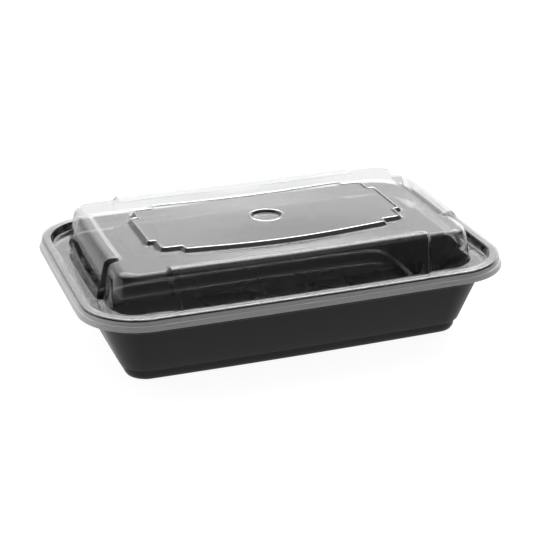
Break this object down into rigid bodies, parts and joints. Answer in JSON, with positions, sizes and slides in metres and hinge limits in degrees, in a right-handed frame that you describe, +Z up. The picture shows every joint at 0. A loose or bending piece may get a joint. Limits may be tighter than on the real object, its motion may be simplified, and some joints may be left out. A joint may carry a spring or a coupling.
{
  "type": "takeaway meal container",
  "caption": "Rectangular black takeaway tray with rounded corners, closed by a clear domed press-on lid with raised bays and a raised centre panel; empty.",
  "frame": {"origin": "centre of the tray's underside, on the surface it stands on", "axes": "+X along the long sides, +Y along the short sides, +Z up through the lid"},
  "size_m": [0.222, 0.15, 0.0596],
  "materials": {
    "tray": "black moulded polypropylene, satin to semi-gloss",
    "lid": "clear thin moulded polypropylene, glossy"
  },
  "bodies": {
    "root": {"tray": "tray", "lid": "lid"}
  },
  "joints": []
}
